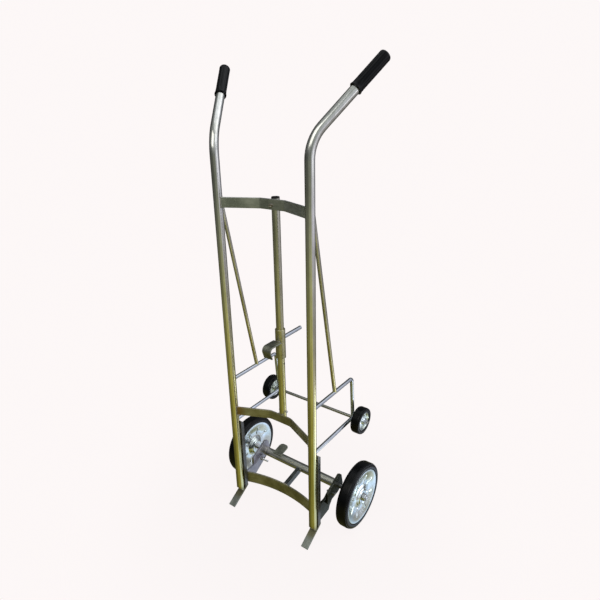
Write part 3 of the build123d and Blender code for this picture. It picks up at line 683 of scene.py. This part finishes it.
def make_grip(side, name):
    """A pushed-on rubber grip: flared lip, plain collar, long shallow flutes and a rounded end."""
    along = Vector((side * GRIP_OUTWARD, GRIP_BACKWARD, GRIP_UPWARD)).normalized()
    across, up = axes_across(along)
    corners = [vertex.co for vertex in NODES[f"grip_{name}"].data.vertices]
    spans = []
    for axis in (along, across, up):
        values = [corner.dot(axis) for corner in corners]
        spans.append((min(values), max(values)))
    centre = [(low + high) / 2 for low, high in spans]
    start = along * spans[0][0] + across * centre[1] + up * centre[2]
    length = (spans[0][1] - spans[0][0]) / MM

    def shape(a, r, angle):
        where = a / MM
        depth = step(16, 26, where) * step(length - 8, length - 20, where)
        wave = 0.5 - 0.5 * math.cos(GRIP_FLUTES * angle)
        return a, r - depth * FLUTE_DEPTH * MM * wave**2

    made = spin(scaled(grip_outline(length)), start, along, GRIP_STEPS, shape=shape)
    cap_ends(made)
    add_piece(f"grip_{name}_rubber", made, "grip", "frame", (f"grip_{name}",))


# ---------------------------------------------------------------- nuts and bolts


HEX_STEPS = 96
THREAD_STEPS = 40
# How fast the corners of a nut fall away: the tangent of 30 degrees
CORNER_SLOPE = 0.577
# Millimetres: across flats and bore of the nuts, and the bolt of each arm, whose head has only a
# pinhole where a nut has its bore
MAIN_NUT = (24.0, 16.0)
REAR_NUT = (19.0, 12.0)
ARM_NUT = (13.0, 8.0)
BOLT_FLATS = 13.0
BOLT_HEAD_HEIGHT = 5.3
BOLT_RADIUS = 4.0
BOLT_PITCH = 1.25
BOLT_PINHOLE = 0.1
TIP_CHAMFER = 1.2


def hexagon(angle, across_flats):
    turn = (angle + math.pi / 6) % (math.pi / 3) - math.pi / 6
    return across_flats / 2 / math.cos(turn)


def hex_bmesh(origin, outward, across_flats, height, bore):
    """A hexagon nut or bolt head whose corners are turned down at 30 degrees on its outer face."""
    flat = across_flats / 2
    inside = bore / 2
    levels = [(0.0, 1.0), (height - 0.02, 1.0), (height, 0.97), (height, 0.90)]
    levels += [(height, 0.75), (height, 0.5 + inside / flat / 2)]

    def shape(a, share, angle):
        r = hexagon(angle, across_flats) * share
        slope = max(0.0, r - flat * 0.97) * CORNER_SLOPE
        return (a - slope * MM if a > 0.5 * height * MM else a), r * MM

    made = spin([(a * MM, share) for a, share in levels], origin, outward, HEX_STEPS, shape=shape)
    hole = [(height, inside + 0.6), (height - 0.6, inside), (0.0, inside)]
    take_in(made, spin(scaled(hole), origin, outward, HEX_STEPS))
    bmesh.ops.remove_doubles(made, verts=made.verts, dist=1e-6)
    loops = [edge for edge in made.edges if edge.is_boundary]
    top = [e for e in loops if all((v.co - origin).dot(outward) > (height * 0.9) * MM for v in e.verts)]
    bmesh.ops.bridge_loops(made, edges=top)
    bottom = [e for e in made.edges if e.is_boundary]
    bmesh.ops.bridge_loops(made, edges=bottom)
    return made


def thread_bmesh(origin, along, radius, length, pitch):
    """A threaded shank with a real helix and a chamfered tip."""
    rows = max(8, int(length / pitch * 6))
    profile = [(length * i / rows * MM, radius * MM) for i in range(rows + 1)]

    def shape(a, r, angle):
        turn = (a / MM / pitch + angle / (2 * math.pi)) % 1.0
        tooth = abs(turn - 0.5) * 2
        tip = max(0.0, a / MM - (length - TIP_CHAMFER))
        return a, r - (0.5 * pitch * tooth + tip * 0.8) * MM

    made = spin(profile, origin, along, THREAD_STEPS, shape=shape)
    cap_ends(made)
    return made


def make_nut(node, facing, size):
    """A nut whose turned-down corners face along +X or -X."""
    across_flats, bore = size
    low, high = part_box(node)
    start = (low + high) / 2
    start.x = low.x if facing > 0 else high.x
    made = hex_bmesh(start, X_AXIS * facing, across_flats, (high.x - low.x) / MM, bore)
    add_piece(f"{node}_hex", made, "fastener", "frame", (node,))


def make_arm_bolt(side, name):
    node = f"arm_bolt_{name}"
    low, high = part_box(node)
    head_end = max(abs(low.x), abs(high.x))
    tip = min(abs(low.x), abs(high.x))
    seat_x = side * (head_end - BOLT_HEAD_HEIGHT * MM)
    seat = Vector((seat_x, (low.y + high.y) / 2, (low.z + high.z) / 2))
    bolt = hex_bmesh(seat, X_AXIS * side, BOLT_FLATS, BOLT_HEAD_HEIGHT, BOLT_PINHOLE)
    shank_length = (abs(seat.x) - tip) / MM
    take_in(bolt, thread_bmesh(seat, X_AXIS * -side, BOLT_RADIUS, shank_length, BOLT_PITCH))
    add_piece(f"{node}_hex", bolt, "fastener", "frame", (node,))


def make_fasteners():
    for side, name in SIDES:
        make_nut(f"main_nut_{name}", side, MAIN_NUT)
        make_nut(f"rear_nut_{name}", side, REAR_NUT)
        make_nut(f"arm_nut_{name}", -side, ARM_NUT)
        make_arm_bolt(side, name)


# ---------------------------------------------------------------- weld beads


BEAD_SIDES = 10
ON_SURFACE = 0.00012
SAME_PLACE = 0.0002
BEAD_RADIUS = {
    "hook_plate": 0.0022,
    "hook_handle": 0.0017,
    "upper_crossbar": 0.0021,
    "middle_crossbar": 0.0023,
    "rod": 0.0019,
    "rear_corner": 0.0018,
    "axle_tube": 0.0022,
    "foot": 0.0022,
    "leg": 0.0019,
    "centre_tube": 0.0021,
    "tube_foot": 0.0024,
    "plug": 0.0028,
    "pedal": 0.0022,
    "link_foot": 0.0018,
    "link_tube": 0.0020,
}
FOOT_WELD_HALF = 0.0135
LEG_WELD_HEIGHTS = (0.075, 0.155, 0.25, 0.335)
LEG_WELD_HALF = 0.014
LEG_WELD_APART = 0.0068
TUBE_WELD_APART = 0.0072
TUBE_WELD_GAP = 0.003
PEDAL_TILT = math.radians(12)
PEDAL_WELD_APART = math.radians(20)
PEDAL_WELD_GAP = 0.003
PLUG_HALF_WIDTH = 0.010
PLUG_HALF_HEIGHT = 0.005


def resample(points, spacing, closed):
    """Evenly spaced points along a line."""
    line = list(points) + ([points[0]] if closed else [])
    lengths = [(b - a).length for a, b in zip(line, line[1:])]
    total = sum(lengths)
    count = max(6, int(total / spacing))
    made = []
    for i in range(count + (0 if closed else 1)):
        target = total * i / count
        for (a, b), length in zip(zip(line, line[1:]), lengths):
            if target <= length or (b is line[-1] and length > 0):
                made.append(a.lerp(b, min(1.0, target / length) if length else 0.0))
                break
            target -= length
    return made


def bead(name, points, radius, closed=False, body="frame"):
    """A weld bead along a line of points: overlapping ripples of slightly uneven size."""
    path = resample(points, radius * 0.35, closed)
    count = len(path)
    made = bmesh.new()
    rings = []
    for i, point in enumerate(path):
        before = path[i - 1] if closed or i > 0 else point
        after = path[(i + 1) % count] if closed or i < count - 1 else point
        across, up = axes_across((after - before).normalized())
        ripple = 1.0 + 0.10 * math.sin(i * 1.9) + 0.16 * noise.noise(point * 180)
        if not closed:
            ripple *= 0.35 + 0.65 * min(1.0, i / 4, (count - 1 - i) / 4)
        ring = []
        for k in range(BEAD_SIDES):
            angle = 2 * math.pi * k / BEAD_SIDES
            offset = across * math.cos(angle) + up * math.sin(angle)
            ring.append(made.verts.new(point + offset * radius * ripple))
        rings.append(ring)
    skin_rings(made, rings, closed)
    if not closed:
        made.faces.new(rings[0])
        made.faces.new(list(reversed(rings[-1])))
    add_piece(name, made, "weld", body)


def off_axis(point, along, radius):
    """Distance of a point outside a round tube."""

    def distance(p):
        reach = p - point
        return (reach - along * reach.dot(along)).length - radius

    return distance


def joint_points(node, distance, side=0):
    """The vertices of a node that lie on a surface, on one side of the dolly if a side is given."""
    found = []
    for vertex in NODES[node].data.vertices:
        on_side = not side or vertex.co.x * side > 0
        if on_side and abs(distance(vertex.co)) < ON_SURFACE:
            if all((vertex.co - other).length > SAME_PLACE for other in found):
                found.append(vertex.co.copy())
    if len(found) < 4:
        raise ValueError(f"no joint found on {node}")
    return found


def mean(points):
    return sum(points, Vector()) / len(points)


def in_order(points, along):
    """The points of a joint in order round a direction."""
    centre = mean(points)
    across, up = axes_across(along.normalized())
    return sorted(points, key=lambda p: math.atan2((p - centre).dot(up), (p - centre).dot(across)))


def seam(node, distance):
    """The closed line where a node meets a surface, from its own vertices."""
    points = joint_points(node, distance)
    return in_order(points, middle(node) - mean(points))


def crossbar_seam(node, distance, side):
    """The closed line where one end of a crossbar meets its upright."""
    return in_order(joint_points(node, distance, side), Vector((side, -0.45, 0)))


def ring_points(centre, along, radius):
    across, up = axes_across(along)
    angles = [2 * math.pi * k / 48 for k in range(48)]
    return [centre + (across * math.cos(a) + up * math.sin(a)) * radius for a in angles]


def make_hook_welds():
    on_sleeve = off_axis(middle("hook_sleeve"), Z_AXIS, SLEEVE_RADIUS)
    for node in ("hook_plate", "hook_handle"):
        bead(f"weld_{node}", seam(node, on_sleeve), BEAD_RADIUS[node], closed=True, body="hook")


def upright_axis(name):
    """The foot of an upright's middle line, one radius in front of its leg bar."""
    low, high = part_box(f"leg_bar_{name}")
    return Vector(((low.x + high.x) / 2, low.y - UPRIGHT_RADIUS, 0))


def make_upright_welds(side, name):
    """Beads where the crossbars and the rods of the rear frame meet an upright, and the rear corner."""
    on_upright = off_axis(upright_axis(name), Z_AXIS, UPRIGHT_RADIUS)
    for node in ("upper_crossbar", "middle_crossbar"):
        line = crossbar_seam(node, on_upright, side)
        bead(f"weld_{node}_{name}", line, BEAD_RADIUS[node], closed=True)
    for node in (f"rear_rod_{name}", f"lower_rod_{name}", f"stay_{name}"):
        bead(f"weld_{node}", seam(node, on_upright), BEAD_RADIUS["rod"], closed=True)
    corner = seam(f"lower_rod_{name}", off_axis(middle("rear_axle"), X_AXIS, REAR_AXLE_RADIUS))
    bead(f"weld_rear_corner_{name}", corner, BEAD_RADIUS["rear_corner"], closed=True)


def make_axle_tube_weld(side, name):
    low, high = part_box("axle_tube")
    centre = middle("axle_tube")
    end = Vector((side * high.x, centre.y, centre.z))
    ring = ring_points(end, X_AXIS, (high.z - low.z) / 2)
    bead(f"weld_axle_tube_{name}", ring, BEAD_RADIUS["axle_tube"], closed=True)


def make_foot_weld(name):
    """A bead across the heel of an upright's foot."""
    corners = [vertex.co for vertex in NODES[f"upright_{name}"].data.vertices]
    lowest = min(corner.z for corner in corners)
    heel = [corner for corner in corners if corner.z < lowest + 0.0002]
    y = sum(corner.y for corner in heel) / len(heel) - 0.0006
    x = upright_axis(name).x
    places = [x + reach for reach in (-FOOT_WELD_HALF, 0.0, FOOT_WELD_HALF)]
    line = [Vector((place, y, lowest + 0.0008)) for place in places]
    bead(f"weld_foot_{name}", line, BEAD_RADIUS["foot"])


def make_leg_welds(side, name):
    """Short beads up both sides of the line where a leg bar touches its upright."""
    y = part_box(f"leg_bar_{name}")[0].y - 0.0009
    for edge in (-1, 1):
        x = upright_axis(name).x + edge * LEG_WELD_APART
        label = "inner" if edge == -side else "outer"
        for k, height in enumerate(LEG_WELD_HEIGHTS):
            line = [Vector((x, y, height - LEG_WELD_HALF)), Vector((x, y, height + LEG_WELD_HALF))]
            bead(f"weld_leg_{name}_{label}_{k}", line, BEAD_RADIUS["leg"])


def make_centre_tube_welds():
    """Beads beside the centre tube on its two crossbars, at its foot, and a plug weld above."""
    tube_low, tube_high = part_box("centre_tube")
    for node in ("upper_crossbar", "middle_crossbar"):
        low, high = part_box(node)
        bottom = max(low.z, tube_low.z) + TUBE_WELD_GAP
        top = min(high.z, tube_high.z) - TUBE_WELD_GAP
        for edge, label in SIDES:
            line = [Vector((edge * TUBE_WELD_APART, tube_low.y + 0.0012, z)) for z in (bottom, top)]
            bead(f"weld_{node}_tube_{label}", line, BEAD_RADIUS["centre_tube"])
    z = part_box("middle_crossbar")[1].z
    for k, x in enumerate((-0.0085, 0.0085)):
        start = Vector((x - 0.004, tube_low.y - 0.0005, z))
        end = Vector((x + 0.004, tube_low.y + 0.0012, z))
        bead(f"weld_tube_foot_{k}", [start, end], BEAD_RADIUS["tube_foot"])
    make_plug_weld(tube_low.y - 0.006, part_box("upper_crossbar")[0].z + 0.013)


def make_plug_weld(front, height):
    """A bead that winds inwards to a blob on the upper crossbar."""
    plug = []
    for k in range(25):
        turn = 0.45 * k
        reach = 1 - k / 28
        x = -0.004 + PLUG_HALF_WIDTH * reach * math.cos(turn)
        z = height + PLUG_HALF_HEIGHT * reach * math.sin(turn)
        plug.append(Vector((x, front, z)))
    bead("weld_plug_upper", plug, BEAD_RADIUS["plug"])


def on_axle_tube(turn, gap):
    """Y and Z of a point just above the axle tube, by its angle from straight up towards the back."""
    low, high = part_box("axle_tube")
    centre = middle("axle_tube")
    radius = (high.z - low.z) / 2 + gap
    return centre.y + radius * math.sin(turn), centre.z + radius * math.cos(turn)


def make_pedal_welds():
    low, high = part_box("foot_pedal")
    for edge, label in ((-1, "front"), (1, "back")):
        y, z = on_axle_tube(edge * PEDAL_WELD_APART - PEDAL_TILT, 0.0004)
        line = [Vector((low.x + PEDAL_WELD_GAP, y, z)), Vector((high.x - PEDAL_WELD_GAP, y, z))]
        bead(f"weld_pedal_{label}", line, BEAD_RADIUS["pedal"])


def make_link_welds():
    """A bead round the link's foot on the lower crossbar, and one up each side on the axle tube."""
    low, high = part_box("centre_link")
    foot = [vertex.co for vertex in NODES["centre_link"].data.vertices if vertex.co.y < low.y + 0.0003]
    bottom = min(corner.z for corner in foot)
    top = max(corner.z for corner in foot)
    corners = ((low.x, bottom), (high.x, bottom), (high.x, top), (low.x, top))
    around = [Vector((x, low.y + 0.0005, z)) for x, z in corners]
    bead("weld_link_foot", around, BEAD_RADIUS["link_foot"], closed=True)
    for x, label in ((low.x, "left"), (high.x, "right")):
        saddle = []
        for k in range(9):
            y, z = on_axle_tube(math.radians(-65 - 7 * k), 0.0006)
            if z < high.z:
                saddle.append(Vector((x, y, z)))
        bead(f"weld_link_tube_{label}", saddle, BEAD_RADIUS["link_tube"])


def make_welds():
    make_hook_welds()
    for side, name in SIDES:
        make_upright_welds(side, name)
        make_axle_tube_weld(side, name)
        make_foot_weld(name)
        make_leg_welds(side, name)
    make_centre_tube_welds()
    make_pedal_welds()
    make_link_welds()


# ---------------------------------------------------------------- kept nodes


def both(*stems):
    return [f"{stem}_{name}" for _, name in SIDES for stem in stems]


def paint_kept_nodes():
    """Round tubes, rods and shafts keep their CAD shape and get their finish here."""
    kept = {
        "upright": both("upright"),
        "tube": ["centre_tube"],
        "sleeve": ["hook_sleeve"],
        "axle_tube": ["axle_tube"],
        "rod": ["hook_handle"] + both("rear_rod", "lower_rod"),
        "stay": both("stay"),
        "cross_rod": ["rear_axle"],
        "fastener": ["main_axle", "stop_pin"] + both("main_washers", "rear_washers"),
        "bush": both("main_bush", "rear_bush"),
    }
    for material, names in kept.items():
        for name in names:
            mesh = NODES[name].data
            mesh.materials.clear()
            mesh.materials.append(MATERIALS[material])


# ---------------------------------------------------------------- studio


# What the metal reflects, from straight down at 0 to straight up at 1: a yard, and a window on the
# camera's right
YARD = (
    (0.00, rgb(0.10, 0.095, 0.03)),
    (0.20, rgb(0.36, 0.345, 0.11)),
    (0.27, rgb(0.52, 0.50, 0.20)),
    (0.34, rgb(0.44, 0.44, 0.22)),
    (0.39, rgb(0.29, 0.30, 0.22)),
    (0.45, rgb(0.22, 0.235, 0.20)),
    (0.52, rgb(0.18, 0.195, 0.18)),
    (0.60, rgb(0.36, 0.38, 0.38)),
    (0.72, rgb(0.48, 0.51, 0.51)),
    (1.00, rgb(0.52, 0.55, 0.58)),
)
WINDOW = (
    (0.00, rgb(0.45, 0.47, 0.44)),
    (0.13, rgb(0.70, 0.72, 0.66)),
    (0.17, rgb(1.02, 1.26, 1.66)),
    (0.22, rgb(0.62, 0.60, 0.60)),
    (0.30, rgb(0.36, 0.345, 0.35)),
    (0.40, rgb(0.64, 0.62, 0.71)),
    (0.47, rgb(0.80, 0.81, 0.92)),
    (0.54, rgb(0.60, 0.62, 0.70)),
    (0.64, rgb(0.80, 0.83, 0.94)),
    (0.75, rgb(1.25, 1.28, 1.40)),
    (0.84, rgb(1.70, 1.74, 1.86)),
    (0.93, rgb(0.80, 0.82, 0.86)),
    (1.00, rgb(0.60, 0.62, 0.64)),
)
# Brightness of the yard from the camera's left at 0 to its right at 1
STRIPES = (
    (0.00, rgb(0.42, 0.42, 0.42)),
    (0.17, rgb(0.46, 0.46, 0.46)),
    (0.30, rgb(0.78, 0.78, 0.76)),
    (0.42, rgb(1.25, 1.25, 1.25)),
    (0.51, rgb(0.74, 0.74, 0.76)),
    (0.57, rgb(0.86, 0.86, 0.88)),
    (0.66, rgb(1.36, 1.36, 1.38)),
    (1.00, rgb(1.20, 1.20, 1.20)),
)
# Where the window begins on the right, and how the surroundings darken beyond the dolly
WINDOW_EDGE = (0.38, 0.66)
BEYOND_EDGE = (0.05, 0.60)
BEYOND_SHADE = 0.26
FLOOR_HALF = 20
FLOOR_DROP = 0.0005
# The floor takes light and shadow only near the dolly: none at the first distance, most at the second
FLOOR_FADE = (0.9, 0.3)
FLOOR_SHADE = 0.05


def reflections(graph):
    """Colour of the surroundings by direction, darker beyond the dolly than on the camera's side."""
    direction = graph.node("TexCoord").outputs["Generated"]
    level = graph.upper_half(graph.node("SeparateXYZ", {0: direction}).outputs[2])
    sideways = graph.dot(direction, (CAMERA_RIGHT.x, CAMERA_RIGHT.y, 0.0))
    beyond = graph.dot(direction, (-CAMERA_BACK.x, -CAMERA_BACK.y, 0.0))
    yard = graph.multiply(graph.ramp(level, YARD), graph.ramp(graph.upper_half(sideways), STRIPES))
    color = graph.mix(graph.remap(sideways, *WINDOW_EDGE), yard, graph.ramp(level, WINDOW))
    return graph.multiply(color, graph.grey(graph.remap(beyond, *BEYOND_EDGE, 1.0, BEYOND_SHADE)))


def make_world():
    """A pale backdrop for the camera, and for all other rays the yard and the window."""
    world = bpy.data.worlds.new("studio")
    bpy.context.scene.world = world
    world.use_nodes = True
    graph = Graph(world.node_tree)
    output = graph.node("OutputWorld")
    reflected = graph.node("Background", {"Color": reflections(graph), "Strength": 1.0})
    seen = graph.node("Background", {"Color": BACKDROP, "Strength": 1.0})
    ray = graph.node("LightPath").outputs["Is Camera Ray"]
    mixed = graph.node("MixShader", {0: ray, 1: reflected.outputs[0], 2: seen.outputs[0]})
    graph.link(mixed.outputs[0], output, "Surface")


def make_floor():
    """A pale floor that meets the backdrop without an edge and takes only a faint contact shadow."""
    made = bmesh.new()
    bmesh.ops.create_grid(made, x_segments=1, y_segments=1, size=FLOOR_HALF)
    mesh = bpy.data.meshes.new("floor")
    made.to_mesh(mesh)
    made.free()
    floor = bpy.data.objects.new("floor", mesh)
    floor.location.z = -FLOOR_DROP
    bpy.context.scene.collection.objects.link(floor)
    material = bpy.data.materials.new("floor_pale")
    material.use_nodes = True
    graph = Graph(material.node_tree)
    output = graph.node("OutputMaterial")
    reach = graph.node("VectorMath", {0: graph.node("TexCoord").outputs["Object"]}, operation="LENGTH")
    near = graph.remap(reach.outputs["Value"], *FLOOR_FADE, 0.0, FLOOR_SHADE)
    lit = graph.node("BsdfDiffuse", {"Color": rgb(0.80, 0.77, 0.77)})
    glow = graph.node("Emission", {"Color": BACKDROP, "Strength": 1.0})
    seen = graph.node("MixShader", {0: near, 1: glow.outputs[0], 2: lit.outputs[0]})
    clear = graph.node("BsdfTransparent")
    ray = graph.node("LightPath").outputs["Is Camera Ray"]
    mixed = graph.node("MixShader", {0: ray, 1: clear.outputs[0], 2: seen.outputs[0]})
    graph.link(mixed.outputs[0], output, "Surface")
    mesh.materials.append(material)


def area_light(name, place, target, size, power, color):
    data = bpy.data.lights.new(name, "AREA")
    data.shape = "RECTANGLE"
    data.size, data.size_y = size
    data.energy = power
    data.color = color
    light = bpy.data.objects.new(name, data)
    light.location = place
    light.rotation_mode = "QUATERNION"
    light.rotation_quaternion = (Vector(target) - Vector(place)).to_track_quat("-Z", "Y")
    bpy.context.scene.collection.objects.link(light)


def make_lights():
    """Place, target, size, watts and colour of each lamp; the low one brightens the right wheel."""
    area_light("key", (0.1, -2.3, 3.1), (0, 0, 0.6), (2.4, 2.0), 24, (1.0, 0.98, 0.95))
    area_light("side", (2.6, 0.6, 1.9), (0, 0, 0.6), (1.2, 2.2), 7, (0.92, 0.95, 1.0))
    area_light("low", (0.72, 0.34, 0.02), (0.45, 0.20, 0.4), (0.34, 0.34), 0.9, (0.84, 0.93, 1.0))
    area_light("top", (0.2, 0.6, 3.4), (0, 0, 0.5), (2.4, 2.4), 11, (0.97, 0.98, 1.0))


def make_camera():
    data = bpy.data.cameras.new("camera")
    data.lens = CAMERA_LENS
    data.sensor_width = SENSOR_WIDTH
    data.shift_x, data.shift_y = CAMERA_SHIFT
    camera = bpy.data.objects.new("camera", data)
    rotation = Matrix((CAMERA_RIGHT, CAMERA_UP, CAMERA_BACK)).transposed().to_4x4()
    camera.matrix_world = Matrix.Translation(CAMERA_PLACE) @ rotation
    bpy.context.scene.collection.objects.link(camera)
    bpy.context.scene.camera = camera


make_bars()
make_wheels()
for side, name in SIDES:
    make_grip(side, name)
make_fasteners()
make_welds()
paint_kept_nodes()
make_world()
make_floor()
make_lights()
make_camera()
bpy.context.scene.view_settings.view_transform = "Standard"
